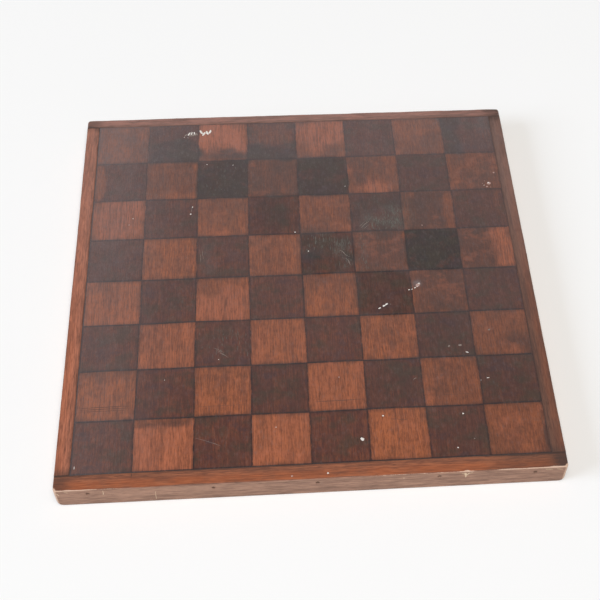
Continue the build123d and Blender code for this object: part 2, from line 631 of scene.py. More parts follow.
@dataclass(frozen=True)
class StripFinish:
    """A strip of the edge: varnished on top, rubbed pale on its arris, dusty and greyed on its face.

    Attributes:
        name: The material's name.
        top: The wood as the varnished top shows it.
        side: The same wood on the faded outer face.
        orange: How strong the amber band is.
        rubbed: The bare wood where the arris is worn.
        grime_and_shade: The colour of the dirt at the corners, and of the painted shade along the arris and
            at the foot.
        amber: The colour of the band beside the arris.
        dust: The colour of the dust and of the painted sheen, which lie thicker toward the back.
        gloss: How strongly the varnish mirrors.
        relief_mm: How deep its pores are.
    """

    name: str
    top: Mahogany
    side: Mahogany
    orange: float = 0.0
    rubbed: Triple = (0.64, 0.44, 0.33)
    grime_and_shade: Triple = (0.045, 0.024, 0.018)
    amber: Triple = (0.36, 0.085, 0.022)
    dust: Triple = (0.30, 0.22, 0.205)
    gloss: float = 0.30
    relief_mm: float = 0.11

    def make(self) -> bpy.types.Material:
        """Builds the material: textures first, then how much of each coat shows, then the coats.

        Returns:
            The finished material.
        """
        graph = Graph(self.name)
        tone, pores = self.top.streaks(graph)
        side_tone, side_pores = self.side.streaks(graph)
        flank = graph.attribute("flank")
        cloud = graph.noise((17.0, 17.0, 9.0), 71.0, 3.0, 0.6)
        fine = graph.noise((1.2, 1.2, 0.8), 73.0, 3.0, 0.6)
        smudge = graph.noise(self.top.grain.size(4.0, 26.0), 77.0, 4.0, 0.65)

        band = graph.attribute("band") * cloud.ramp(0.30, 0.55, 0.35, 1.0)
        low = graph.part(2).ramp(19.0, 1.0)
        dull = (smudge - 0.46).at_least(0.0) * 1.5
        # Darker toward the bottom of the outer face
        dull = dull + flank * low * (smudge * 0.10)
        # Greyer toward the back: dust, and painted sheen where light glances off the far strips
        dust_and_sheen = graph.part(1).ramp(-120.0, 190.0, 0.0, 0.30) * (0.5 + fine)
        # Grime and painted shade from the mesh, with the smudges above
        dirt_and_shade = graph.attribute("grime_and_shade") * (0.5 + cloud * 0.55 + fine * 0.45) + dull
        worn = graph.attribute("wear") * (fine * 1.2 + cloud * 0.9 - 0.30)

        colour = graph.coats(
            self.top.colour(graph, tone, pores),
            (band * self.orange, self.amber),
            (flank, self.side.colour(graph, side_tone, side_pores * 0.7)),
            (dust_and_sheen, self.dust),
            (dirt_and_shade.at_most(0.94), self.grime_and_shade),
            (worn.ramp(0.22, 0.62) * 0.9, self.rubbed),
        )
        rough = 0.42 + fine * 0.18 + flank * 0.22
        height = 1.0 - pores * 0.6 + tone * 0.25 + fine * 0.35
        return graph.finish(colour, rough, height, self.relief_mm, Specular_IOR_Level=self.gloss)


@dataclass(frozen=True)
class PlainFinish:
    """One substance with fine mottling, such as dried paint or dulled steel.

    Attributes:
        name: The material's name.
        pale: Its palest colour.
        deep: Its deepest colour.
        rough: Its roughness.
        metal: Whether it is metal.
        grit: The size of its mottling, in millimetres.
        relief_mm: How far the mottling stands out.
    """

    name: str
    pale: Triple
    deep: Triple
    rough: float
    metal: bool = False
    grit: float = 0.8
    relief_mm: float = 0.05

    def make(self) -> bpy.types.Material:
        """Builds the material.

        Returns:
            The finished material.
        """
        graph = Graph(self.name)
        mottle = graph.noise((self.grit,) * 3, 81.0, 3.0, 0.6)
        colour = graph.coats(self.deep, (mottle.ramp(0.3, 0.7), self.pale))
        rough = self.rough + mottle * 0.15
        return graph.finish(colour, rough, mottle, self.relief_mm, Metallic=float(self.metal))


class Film(Enum):
    """What lies on a patch of the playing face, by the attribute that holds it."""

    GREEN = "green_film"
    BROWN = "brown_film"
    BARE = "bare"
    # A dull bloom that also carries painted sheen toward the back and the left
    HAZE_AND_SHEEN = "haze"
    BLOOM = "bloom_film"
    CLEAN = "clean"


@dataclass(frozen=True)
class Patch:
    """A soft-edged patch on the playing face.

    Attributes:
        film: What it is made of.
        left: Its left edge, in squares from the left of the field.
        front: Its front edge, in squares from the front.
        right: Its right edge.
        back: Its back edge.
        strength: How much it covers, 0 to 1, or below 0 where it takes away.
        soft: How wide its edge is, in squares.
        wander: How far its edge comes and goes, as a share of that width.
        ragged: How long a bend of its edge is, in squares.
    """

    film: Film
    left: float
    front: float
    right: float
    back: float
    strength: float
    soft: float = 0.12
    wander: float = 0.8
    ragged: float = 0.3

    def cover(self, across: Array, along: Array, seed: int) -> Array:
        """Works out the patch's cover: the product of four smooth steps, one at each wandering edge.

        Args:
            across: Places in squares from the left.
            along: Places in squares from the front.
            seed: Which wander its edges have.

        Returns:
            The cover at each place.
        """
        sway, lean = (
            drifting_noise(across, along, (self.ragged, self.ragged), each) * self.soft * self.wander
            for each in (seed, seed + PATCH_LEAN_SEED)
        )
        half = self.soft / 2
        sides = smooth_step(across + sway, self.left - half, self.left + half)
        sides = sides * smooth_step(across + sway, self.right + half, self.right - half)
        ends = smooth_step(along + lean, self.front - half, self.front + half)
        ends = ends * smooth_step(along + lean, self.back + half, self.back - half)
        return sides * ends * self.strength


GREEN, BROWN, BARE, HAZE_AND_SHEEN, BLOOM, CLEAN = Film

# What it is, its left, front, right and back edge in squares, its strength and its softness
PATCHES = (
    (GREEN, 1, 7, 2, 7.55, 0.78),
    (GREEN, 1, 7.5, 2, 8, 0.1, 0.3),
    (BROWN, 2, 7, 3, 7.38, 0.75, 0.15),
    (GREEN, 2, 7, 3, 7.25, 0.3, 0.2),
    (GREEN, 3, 7, 4, 7.38, 0.8, 0.1),
    (GREEN, 3.75, 7.85, 4, 8, 0.6, 0.08),
    (BROWN, 4.1, 7, 4.6, 7.3, 0.25, 0.3),
    (BROWN, 4.5, 7, 5, 7.45, 0.3, 0.3),
    (BROWN, 0.45, 7, 1, 8, 0.35, 0.4),
    (BROWN, 0, 7.5, 0.6, 8, 0.25, 0.4),
    (BROWN, 6, 7, 7, 7.5, 0.35, 0.3),
    (GREEN, 7, 7, 7.35, 8, 0.75, 0.1),
    (HAZE_AND_SHEEN, 7.7, 7.6, 8, 8, 0.1, 0.2),
    (BARE, 0, 6, 0.17, 7, 0.8, 0.05),
    (BROWN, 1, 6.2, 2, 7, 0.35, 0.25),
    (GREEN, 2, 6, 3, 7, 0.8, 0.05),
    (BROWN, 3, 6, 4, 7, 0.34, 0.05),
    (GREEN, 3, 6, 4, 7, 0.12, 0.05),
    (GREEN, 4, 6, 5, 7, 0.74, 0.05),
    (BROWN, 5, 6.45, 5.9, 7, 0.3, 0.4),
    (BROWN, 5, 6, 5.45, 6.6, 0.18, 0.3),
    (BROWN, 7, 6, 8, 7, 0.08, 0.3),
    (BROWN, 2, 5.4, 3, 6, 0.3, 0.4),
    (GREEN, 3.1, 5.1, 3.9, 5.9, 0.45, 0.4),
    (BLOOM, 5.15, 5.02, 6, 5.28, 0.36, 0.2),
    (BLOOM, 5.4, 5.2, 6, 5.52, 0.4, 0.3),
    (BLOOM, 5.65, 5.45, 6, 5.8, 0.32, 0.3),
    (GREEN, 5.2, 5, 6, 5.9, 0.55, 0.4),
    (BROWN, 6.2, 5, 6.8, 6, 0.36, 0.15),
    (BARE, 7.9, 5, 8, 6, 0.45, 0.1),
    (GREEN, 0, 4, 0.5, 5, 0.12, 0.4),
    (HAZE_AND_SHEEN, 2.05, 4.2, 2.3, 4.8, 0.08, 0.2),
    (GREEN, 4, 4.4, 5, 5, 0.55, 0.2),
    (GREEN, 4, 4, 5, 4.5, 0.38, 0.2),
    (BLOOM, 4.68, 4.15, 4.97, 4.85, 0.36, 0.2),
    (BLOOM, 4.05, 4.55, 4.6, 4.95, 0.16, 0.3),
    (BLOOM, 5.02, 4.05, 5.2, 4.9, 0.14, 0.2),
    (BROWN, 5, 4, 6, 5, 0.48, 0.1),
    (GREEN, 6, 4, 7, 5, 0.85, 0.04),
    (GREEN, 5, 3, 6, 4, 0.34, 0.1),
    (GREEN, 5, 1, 6, 2, 0.25, 0.1),
    (GREEN, 6, 2, 7, 3, 0.2, 0.1),
    (GREEN, 3, 1, 4, 2, 0.16, 0.1),
    (GREEN, 7, 1, 8, 2, 0.14, 0.1),
    (BROWN, 7, 4, 7.62, 5, 0.35, 0.2),
    (BROWN, 7.7, 4, 8, 5, -0.2, 0.2),
    (BROWN, 0.3, 3.3, 0.7, 3.75, 0.35, 0.35),
    (GREEN, 1.25, 3.25, 1.75, 3.75, 0.1, 0.4),
    (BROWN, 2, 3.45, 2.6, 4, 0.22, 0.4),
    (BARE, 3, 3, 4, 4, 0.07, 0.05),
    (BARE, 3, 7.4, 4, 8, 0.34, 0.2),
    (BROWN, 4, 3.65, 5, 4, 0.3, 0.3),
    (BROWN, 4, 5, 5, 6, 0.14, 0.1),
    (BROWN, 4, 1, 5, 2, 0.12, 0.1),
    (BROWN, 6, 3, 7, 4, 0.32, 0.1),
    (HAZE_AND_SHEEN, 6.06, 3.58, 6.16, 3.72, 0.5, 0.08),
    (BROWN, 1, 2.45, 1.7, 3, 0.3, 0.4),
    (BROWN, 7.55, 2, 8, 2.45, 0.35, 0.4),
    (BROWN, 0, 1.82, 1, 2, 0.4, 0.2),
    (GREEN, 1, 1, 1.35, 1.4, 0.3, 0.3),
    (BROWN, 1, 0.84, 2, 1, 0.65, 0.1),
    (BROWN, 7.25, 0.1, 7.8, 0.9, -0.15, 0.3),
    (BROWN, 7.95, 0, 8, 1, 0.6, 0.06),
    (CLEAN, 2, 7.3, 3, 8, 0.9, 0.3),
    (CLEAN, 4, 7.3, 5, 8, 0.6, 0.3),
    (CLEAN, 0.1, 5, 1, 6, 0.55, 0.3),
    (CLEAN, 0, 3, 1, 4, 0.16, 0.1),
    (CLEAN, 2, 3, 3, 3.7, 0.35, 0.3),
    (CLEAN, 3, 2, 4, 3, 0.12, 0.1),
    (CLEAN, 1, 0, 2, 0.85, 0.35, 0.1),
    (CLEAN, 3, 0, 4, 1, 0.2, 0.1),
    (CLEAN, 1, 2, 2, 3, 0.2, 0.1),
    (CLEAN, 4, 1, 5, 2, 0.15, 0.1),
    (CLEAN, 5.2, 6, 6, 6.4, 0.35, 0.3),
    (GREEN, 7.3, 6.35, 7.65, 6.75, 0.22, 0.3),
    (BARE, 7.2, 5.6, 8, 6, 0.16, 0.3),
    (CLEAN, 7.68, 4, 8, 5, 0.3, 0.15),
    (HAZE_AND_SHEEN, 2, 6, 3, 7, -0.03, 0.1),
    (HAZE_AND_SHEEN, 4, 6, 5, 7, -0.05, 0.1),
    (HAZE_AND_SHEEN, 6, 4, 7, 5, -0.09, 0.1),
    (HAZE_AND_SHEEN, 3, 5, 4, 6, -0.07, 0.1),
    (HAZE_AND_SHEEN, 4, 4, 5, 5, -0.1, 0.1),
    (HAZE_AND_SHEEN, 5, 3, 6, 4, -0.1, 0.1),
)


@dataclass
class RuledPanel:
    """The playing panel: one block whose top is scored with the grid.

    Attributes:
        finish: What it is stained and varnished with.
        beside_line: Where points lie beside a ruled line, in millimetres from it.
        steps: How many steps the grid takes between one line's points and the next.
        file_wobble: How far the lines from front to back come and go, in millimetres.
        rank_wobble: How far the lines across the board do.
        sag: How far the face dips in places.
    """

    finish: PanelFinish
    beside_line: tuple[float, ...] = (0.0, 0.25, 0.5, 0.8, 1.2)
    steps: int = 22
    file_wobble: float = 0.30
    rank_wobble: float = 0.35
    sag: float = 0.05

    def __post_init__(self) -> None:
        """Reads the panel's place from the frame."""
        self.low, self.high = box_mm("panel")
        self.face = self.high[2] - FACE_DROP

    def stations(self) -> Array:
        """Lists the grid's places in squares, close together beside the lines.

        Returns:
            The places from 0 to 8.
        """
        beside = np.array(self.beside_line) / SQUARE
        between = np.linspace(beside[-1], 1.0 - beside[-1], self.steps + 1)[1:-1]
        one = np.concatenate([beside, between, 1.0 - beside[::-1]])
        every = [one[:-1] + number for number in range(SQUARES)]
        return np.concatenate([*every, [float(SQUARES)]])

    def spread(self, across: Array, along: Array) -> tuple[Array, Array]:
        """Turns places in squares into millimetres, with the ruler's drift and the hand's wobble.

        A place is the field's edge plus its squares, plus the drift between the lines beside it, plus a
        slow wave of a few tenths that fades to nothing at the field's edge.

        Args:
            across: Places in squares from the left.
            along: Places in squares from the front.

        Returns:
            X and Y.
        """
        lines = np.arange(SQUARES + 1)
        fade_x = np.clip(np.minimum(across, SQUARES - across), 0.0, 1.0)
        fade_y = np.clip(np.minimum(along, SQUARES - along), 0.0, 1.0)
        x = self.low[0] + across * SQUARE + np.interp(across, lines, FILE_LINE_DRIFT)
        y = self.low[1] + along * SQUARE + np.interp(along, lines, RANK_LINE_DRIFT)
        x = x + fade_x * self.file_wobble * drifting_noise(across, along, (1.0, 0.7), 11)
        y = y + fade_y * self.rank_wobble * drifting_noise(across, along, (0.7, 1.0), 12)
        return x, y

    def scored(self, across: Array, along: Array) -> Array:
        """Works out the depth of the scored lines: a V, as deep as the hand pressed.

        Args:
            across: Places in squares from the left.
            along: Places in squares from the front.

        Returns:
            The depth in millimetres.
        """
        to_file = np.abs(across - np.round(across)) * SQUARE
        to_rank = np.abs(along - np.round(along)) * SQUARE
        press = 0.75 + 0.25 * drifting_noise(across, along, (0.4, 0.4), 13)
        short = np.clip((SQUARES - across) * SQUARE / LINE_STOP_SHORT, 0.0, 1.0)
        border = (np.round(along) == 0) | (np.round(along) == SQUARES)
        rank_press = np.where(border, 1.0, smooth_step(short, 0.5, 1.0)) * press
        file_cut = np.clip(1.0 - to_file / LINE_HALF_WIDTH, 0.0, 1.0) * press
        rank_cut = np.clip(1.0 - to_rank / LINE_HALF_WIDTH, 0.0, 1.0) * rank_press
        return LINE_DEPTH * np.maximum(file_cut, rank_cut)

    def height(self, x: Array, y: Array) -> Array:
        """Gives the face's height between its lines, a little lower where a noise says so."""
        return self.face - self.sag * (1.0 + drifting_noise(x, y, (70.0, 110.0), 14))

    def ground(self, x: Array, y: Array) -> Array:
        """Gives the height of the top of the board, on the panel or on the strips beside it."""
        on_panel = (x >= self.low[0]) & (x <= self.high[0]) & (y >= self.low[1]) & (y <= self.high[1])
        return np.where(on_panel, self.height(x, y), self.high[2] - STRIP_DROP)

    def films(self, across: Array, along: Array) -> dict[str, Array]:
        """Works out what lies on the face: slow changes over the whole board, and then the patches.

        Args:
            across: Places in squares from the left.
            along: Places in squares from the front.

        Returns:
            The cover of each film at each place.
        """
        cloudy = drifting_noise(across, along, (1.3, 1.1), 21)
        covers = {film.value: np.zeros_like(across) for film in Film}
        back = smooth_step(along, 6.9, 7.1)
        # The varnish is dirtier toward the back, but for the last rank, and over the two right files
        right = smooth_step(across, 5.8, 6.4)
        centre = 0.35 + 0.65 * smooth_step(across, 0.8, 3.2)
        brown = 0.03 + 0.05 * along * centre * (1.0 - 0.8 * back)
        covers[Film.BROWN.value] = brown + (0.44 - 0.040 * along) * right + 0.05 * cloudy
        # The haze thickens toward the back and over the left files: partly a bloom on the varnish, partly
        # painted sheen where light glances off the face
        haze = 0.01 + 0.036 * along + 0.22 * smooth_step(across, 2.0, 0.2)
        covers[Film.HAZE_AND_SHEEN.value] = haze + 0.08 * back + 0.02 * cloudy
        for number, row in enumerate(PATCHES):
            patch = Patch(*row)
            covers[patch.film.value] += patch.cover(across, along, PATCH_SEED + number)
        return {name: np.clip(cover, 0.0, 1.0) for name, cover in covers.items()}

    def mesh(self) -> bpy.types.Object:
        """Builds the panel: its scored face, four sides that drop to the table, and its underside.

        Returns:
            The panel's object.
        """
        places = self.stations()
        count = len(places)
        across, along = (part.ravel() for part in np.meshgrid(places, places))
        x, y = self.spread(across, along)
        z = self.height(x, y) - self.scored(across, along)
        top = np.stack([x, y, z], axis=-1)
        step = np.arange(count)
        ring = np.concatenate(
            [step, step[1:] * count + count - 1, count * count - 1 - step[1:], step[-2:0:-1] * count]
        )
        bottom = top[ring].copy()
        bottom[:, 2] = self.low[2]
        points = np.concatenate([top, bottom])
        lower = count * count + np.arange(len(ring))
        after = np.roll(ring, -1)
        skirt = np.stack([lower, np.roll(lower, -1), after, ring], axis=-1)
        faces = [*grid_faces(count, count).tolist(), *skirt.tolist(), lower[::-1].tolist()]
        values = {"file_place": across, "rank_place": along, **self.films(across, along)}
        full = {key: np.concatenate([part, part[ring]]) for key, part in values.items()}
        return make_piece("playing_panel", points, faces, full)

    def dress(self, piece: bpy.types.Object) -> None:
        """Gives the panel its finish and ties it to the frame.

        Args:
            piece: The panel's object.
        """
        piece.data.materials.append(self.finish.make())
        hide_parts("panel")
        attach(piece, BODY)


@dataclass
class EdgeStrip:
    """One strip of the edge, with its worn arris, its rounded ends and the mouths of its pin holes.

    Attributes:
        side: The side of the board that it is on: front, right, back or left.
        turn: How far it is turned round from the front, in quarter turns.
        finish: Its finish.
        pin_wander: How far each pin is from its even place.
        arris: The usual radius of its upper arris.
        arris_wear: How much that radius comes and goes slowly.
        arris_nibble: How much it comes and goes quickly.
        arris_ends: How much larger it is near the board's corners.
        arris_least: The least it may be.
        chips: Chips in the arris: the place along it, the width and the depth, in millimetres.
        rubs: Stretches of arris that are rubbed more or less: the place, the reach and by how much.
        smears: Dirty stretches of the top: the place, the reach and how dirty.
        corner_dirt: How far the grime reaches from each end.
        arris_shade: How dark the painted shade line along the arris is.
        tip_wear: How much the upright corners are rubbed.
        overrun: Where a ruled line runs on into it, from its middle, or None.
        corner_radius: The radius of the board's upright corners.
        foot_radius: The radius of its lower edge.
        worn_foot: The radius to which the lower corners of the board are worn.
        pin_inset: How far the end pins are from the board's corners.
        pin_from_top: How far the pins are below the top.
        side_pin_drop: How much lower they are in the left and right strips.
        hole_radius: The radius of a pin hole's wall.
        hole_rim: The radius at which its mouth starts.
        hole_depth: How deep it is.
        hole_patch: Half the width of the square of points that a hole takes up.
        round_share: The share of that square within which its points lie on circles.
        hole_stain: Where the stain round a hole ends, and where it is whole.
        under_step: Where the underside's first points lie, in from the face.
        ripple: How far the face comes and goes.
        wave: How far the top does.
        pitch: How far sections are apart where nothing asks for more.
    """

    side: str
    turn: int
    finish: StripFinish
    pin_wander: tuple[float, ...] = (0.0, 4.0, -3.0, 5.0, 0.0)
    arris: float = 1.0
    arris_wear: float = 0.45
    arris_nibble: float = 0.22
    arris_ends: float = 0.5
    arris_least: float = 0.35
    chips: tuple[Triple, ...] = ()
    rubs: tuple[Triple, ...] = ()
    smears: tuple[Triple, ...] = ()
    corner_dirt: float = 22.0
    arris_shade: float = 0.35
    tip_wear: float = 0.3
    overrun: float | None = None
    corner_radius: float = 3.0
    foot_radius: float = 1.6
    worn_foot: float = 7.0
    pin_inset: float = 28.0
    pin_from_top: float = 6.5
    side_pin_drop: float = 5.0
    hole_radius: float = 1.35
    hole_rim: float = 1.65
    hole_depth: float = 1.3
    hole_patch: float = 2.6
    round_share: float = 0.70
    hole_stain: Pair = (2.4, 1.2)
    under_step: float = 4.0
    ripple: float = 0.06
    wave: float = 0.03
    pitch: float = 2.4

    def __post_init__(self) -> None:
        """Reads the strip's place from the frame and turns it to face the front."""
        self.node = f"{self.side}_lipping"
        self.covers_corners = self.turn % 2 == 0
        low, high = box_mm(self.node)
        corners = self.turned(np.array([low, high]), -self.turn)
        self.start, self.end = np.sort(corners[:, 0])
        self.face_y, inner_y = np.sort(corners[:, 1])
        self.width = inner_y - self.face_y
        self.top = high[2] - FACE_DROP * 0.5
        self.bottom = low[2]
        drop = 0.0 if self.covers_corners else self.side_pin_drop
        self.pin_height = high[2] - self.pin_from_top - drop
        self.seed = STRIP_SEED + 10 * self.turn

    def to_end(self, along: Array) -> Array:
        """Measures how far the nearer end of the strip is."""
        return np.minimum(along - self.start, self.end - along)

    def turned(self, points: Array, quarters: int) -> Array:
        """Turns points about the vertical through the origin.

        Args:
            points: One row each.
            quarters: How many quarter turns, from +X towards +Y.

        Returns:
            The turned points.
        """
        angle = quarters * math.pi / 2
        cos, sin = round(math.cos(angle)), round(math.sin(angle))
        x, y = points[:, 0], points[:, 1]
        return np.stack([x * cos - y * sin, x * sin + y * cos, points[:, 2]], axis=-1)

    def pins(self) -> Array:
        """Lists the places of the pins along the strip, as the frame has them."""
        half = CAD_BOX[1][1 if self.turn % 2 else 0] / MM - self.pin_inset
        return np.linspace(-half, half, len(self.pin_wander)) + np.array(self.pin_wander)

    def ring_shares(self) -> Array:
        """Lists where points lie across a pin hole's patch, as shares of its half width."""
        shares = (0.30, self.hole_radius / self.hole_patch, self.hole_rim / self.hole_patch, 0.82, 1.0)
        return np.array([*[-share for share in shares[::-1]], 0.0, *shares])

    def along(self) -> Array:
        """Lists the places of the sections along the strip, close together at ends, pins and chips.

        Returns:
            The places, from the strip's start to its end.
        """
        reach = self.ring_shares() * self.hole_patch
        special = [pin + reach for pin in self.pins()]
        if self.covers_corners:
            ease = self.worn_foot * (1.0 - np.cos(np.linspace(0.0, math.pi / 2, 16)))
        else:
            ease = np.array([0.0, 0.3, 1.0])
        special += [self.start + ease, self.end - ease]
        if self.overrun is not None:
            special.append(self.overrun + np.array([-0.8, -0.5, -0.25, 0.0, 0.25, 0.5, 0.8]))
        for place, wide, _ in self.chips:
            special.append(place + wide * np.linspace(-1.0, 1.0, 9))
        kept = np.sort(np.concatenate(special))
        plain = np.linspace(self.start, self.end, int((self.end - self.start) / self.pitch))
        gap = np.min(np.abs(plain[:, None] - kept[None, :]), axis=1)
        return np.sort(np.concatenate([kept, plain[gap > self.pitch * 0.45]]))

    def arris_radius(self, along: Array) -> Array:
        """Works out the worn radius of the upper arris: slow noise round its usual size, plus the chips.

        Args:
            along: The places of the sections.

        Returns:
            The radius at each.
        """
        slow = line_noise(along, 33.0, self.seed)
        quick = line_noise(along, 6.0, self.seed + 1)
        radius = self.arris + self.arris_wear * slow + self.arris_nibble * quick
        for place, wide, deep in self.chips:
            radius = radius + deep * close_to(along, place, wide, wide * 0.2)
        to_end = self.to_end(along)
        if self.covers_corners:
            radius = radius + self.arris_ends * smooth_step(to_end, 14.0, 2.0)
        return np.maximum(radius, self.arris_least)

    def sections(self, along: Array) -> tuple[Array, Array, Array]:
        """Works out every section of the strip, as the distance in from its face and the height.

        From the inner bottom corner a section runs out along the underside, up round the foot, up the
        face, over the arris and back along the top to the bevel at the joint.

        Args:
            along: The places of the sections.

        Returns:
            The distance in from the face, the height, and a mark, one row for each section. Marks are
            0 on the underside, below 1 on the foot, 1 on the face, up to 2 over the arris, up to 3 along
            the top and 4 in the joint.
        """
        to_end = self.to_end(along)[:, None]
        far = to_end if self.covers_corners else np.full_like(to_end, self.end - self.start)
        arris = self.arris_radius(along)[:, None]
        roof = self.top - round_drop(far, arris)
        floor = self.bottom + round_drop(far, self.worn_foot)
        face = round_drop(far, self.corner_radius)
        quarter = np.linspace(0.0, math.pi / 2, 8)
        column = np.ones_like(far)

        lift = self.ring_shares() * self.hole_patch + self.pin_height
        low_face = (self.bottom + self.foot_radius + lift[0]) / 2
        high_face = (lift[-1] + self.top - self.arris * 1.6) / 2
        heights = np.concatenate([[low_face], lift, [high_face]])
        wall = np.minimum(column * heights, roof - arris - 0.05)
        edge_in = face + arris * (1.0 - np.cos(quarter))
        inner = edge_in[:, -1:]
        spans = np.array([0.06, 0.14, 0.26, 0.42, 0.58, 0.74, 0.88, 1.0])
        inward = [
            column * np.linspace(self.width, self.under_step, 3),
            face + self.foot_radius * (1.0 - np.sin(quarter)),
            face * np.ones_like(heights),
            edge_in,
            inner + (self.width - LINE_HALF_WIDTH - inner) * spans,
            column * self.width,
        ]
        upward = [
            floor * np.ones(3),
            floor + self.foot_radius * (1.0 - np.cos(quarter)),
            np.maximum(wall, floor + self.foot_radius),
            roof - arris * (1.0 - np.sin(quarter)),
            roof * np.ones_like(spans),
            roof - LINE_DEPTH,
        ]
        marks = [
            np.zeros(3),
            np.linspace(0.2, 0.9, 8),
            np.ones_like(heights),
            np.linspace(1.0, 2.0, 8),
            2.0 + spans,
            np.array([4.0]),
        ]
        return np.hstack(inward), np.hstack(upward), column * np.concatenate(marks)

    def sink_pin_holes(self, along: Array, inward: Array, upward: Array) -> Array:
        """Sinks the mouth of each pin hole into the face.

        Points of a square patch move onto circles of the same half width near the middle, and stay put
        at its edge. Those within the hole's radius then go in to its depth, along a steep wall.

        Args:
            along: The place of each point along the strip. It is changed in place.
            inward: The distance in from the face. It is changed in place.
            upward: The height. It is changed in place.

        Returns:
            How close each point is to a pin, from 0 to 1, for the stain round the hole.
        """
        stain = np.zeros_like(along)
        on_face = inward < self.foot_radius / 2
        on_wall = on_face & (np.abs(upward - self.pin_height) <= self.hole_patch + 0.01)
        for pin in self.pins():
            side = along - pin
            rise = upward - self.pin_height
            share = np.maximum(np.abs(side), np.abs(rise)) / self.hole_patch
            here = on_wall & (share <= 1.001)
            reach = np.hypot(side, rise)
            circle = share * self.hole_patch / np.maximum(reach, 1e-6)
            blend = 1.0 - smooth_step(share, self.round_share, 1.0)
            pull = 1.0 + (circle - 1.0) * blend
            rounded = np.where(share < self.round_share, share * self.hole_patch, reach)
            along[here] = (pin + side * pull)[here]
            upward[here] = (self.pin_height + rise * pull)[here]
            depth = self.hole_depth * smooth_step(rounded, self.hole_rim, self.hole_radius)
            inward[here] += depth[here]
            stain[here] = np.maximum(stain, smooth_step(rounded, *self.hole_stain))[here]
        return stain

    def dirt_and_shade(self, along: Array, marks: Array) -> Array:
        """Works out where grime gathers, at the corners and along the joint, and where shade is painted,
        along the arris and at the foot.

        Args:
            along: The place of each point along the strip.
            marks: Where it is round the section.

        Returns:
            The grime and painted shade, from 0 to 1.
        """
        to_end = self.to_end(along)
        end = smooth_step(to_end, self.corner_dirt, 2.0)
        patchy = 0.5 + 0.5 * drifting_noise(along, marks * 12.0, (9.0, 9.0), self.seed + 3)
        joint = 0.8 * smooth_step(marks, 2.92, 3.10) + 0.16 * smooth_step(marks, 2.55, 2.80)
        butt = smooth_step(to_end, 0.9, 0.1) if not self.covers_corners else 0.0
        # Painted shade at the foot, where the board meets the table
        foot = smooth_step(marks, 0.90, 0.45)
        # A painted shade line along the arris
        line = close_to(marks, 1.72, 0.22, 0.06) * self.arris_shade
        on_top = smooth_step(marks, 1.3, 2.0)
        grime_and_shade = end * (0.25 + 0.45 * patchy) * (0.25 + 0.75 * on_top)
        for place, reach, strength in self.smears:
            grime_and_shade = grime_and_shade + strength * close_to(along, place, reach, reach * 0.3) * on_top
        return np.clip(grime_and_shade + 0.85 * joint + 0.8 * butt + 0.55 * foot + line, 0.0, 1.0)

    def mesh(self) -> bpy.types.Object:
        """Builds the strip: sections along it, closed by a flat face at each end.

        Returns:
            The strip's object.
        """
        stations = self.along()
        inward, upward, marks = self.sections(stations)
        along = np.repeat(stations[:, None], marks.shape[1], axis=1)
        ripple = self.ripple * (1.0 + drifting_noise(along, upward, (38.0, 14.0), self.seed + 5))
        wall = smooth_step(marks, 0.3, 0.8) * smooth_step(marks, 1.7, 1.2)
        inward = inward + ripple * wall
        wave = self.wave * (1.0 + drifting_noise(along, inward, (60.0, 9.0), self.seed + 6))
        upward = upward - wave * smooth_step(marks, 1.2, 1.9)
        stain = self.sink_pin_holes(along, inward, upward)
        # Grime, with painted shade along the arris and at the foot
        grime_and_shade = self.dirt_and_shade(along, marks)
        if self.overrun is not None:
            across = np.abs(along - self.overrun)
            from_joint = self.width - inward
            mark = smooth_step(from_joint, FIRST_LINE_OVERRUN + 0.8, FIRST_LINE_OVERRUN - 0.8)
            mark = mark * np.clip(1.0 - across / LINE_HALF_WIDTH, 0.0, 1.0) * (marks > 1.5)
            upward = upward - LINE_DEPTH * 0.6 * mark
            grime_and_shade = np.maximum(grime_and_shade, mark * 0.9)
        points = np.stack([along, self.face_y + inward, upward], axis=-1).reshape(-1, 3)
        rows, columns = marks.shape
        sides = grid_faces(rows, columns, closed=True)[:, ::-1]
        first = np.arange(columns)
        last = (rows - 1) * columns + np.arange(columns)
        faces = [*sides.tolist(), first.tolist(), last[::-1].tolist()]
        arc = np.clip(1.0 - np.abs(marks - 1.55) / 0.55, 0.0, 1.0)
        ends = self.to_end(stations)[:, None]
        upright = smooth_step(marks, 0.2, 0.7) * smooth_step(marks, 2.3, 1.9)
        tip = smooth_step(ends, 3.6, 1.2) * upright if self.covers_corners else 0.0
        rub = 0.40 + 0.40 * line_noise(along, 26.0, self.seed + 7)
        for place, reach, strength in self.rubs:
            rub = rub + strength * close_to(along, place, reach, reach * 0.4)
        values = {
            "flank": np.clip(smooth_step(marks, 1.75, 1.25) + tip * 0.5, 0.0, 1.0),
            "wear": np.clip(arc * rub + tip * self.tip_wear, 0.0, 1.0),
            "grime_and_shade": np.clip(np.maximum(grime_and_shade, stain * 0.4), 0.0, 1.0),
            "band": smooth_step(marks, 1.7, 2.05) * smooth_step(marks, 2.75, 2.35),
        }
        return make_piece(f"{self.side}_strip", self.turned(points, self.turn), faces, values)

    def dress(self, piece: bpy.types.Object) -> None:
        """Gives the strip its finish and ties it to the frame.

        Args:
            piece: The strip's object.
        """
        piece.data.materials.append(self.finish.make())
        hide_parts(self.node)
        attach(piece, BODY)


class Paint(Enum):
    """What a fleck is, by the name of the piece that holds all of its kind."""

    WHITE = "white_flecks"
    DULL = "dull_flecks"
    PINK = "pink_flecks"


@dataclass(frozen=True)
class Fleck:
    """A dried drop of paint on the top of the board.

    Attributes:
        x: Its middle, to the right of the board's middle, in millimetres.
        y: Its middle, behind the board's middle.
        radius: Half its width.
        longer: How many times longer than wide it is.
        turn: Which way its length points, in degrees from +X.
    """

    x: float
    y: float
    radius: float
    longer: float = 1.0
    turn: float = 0.0


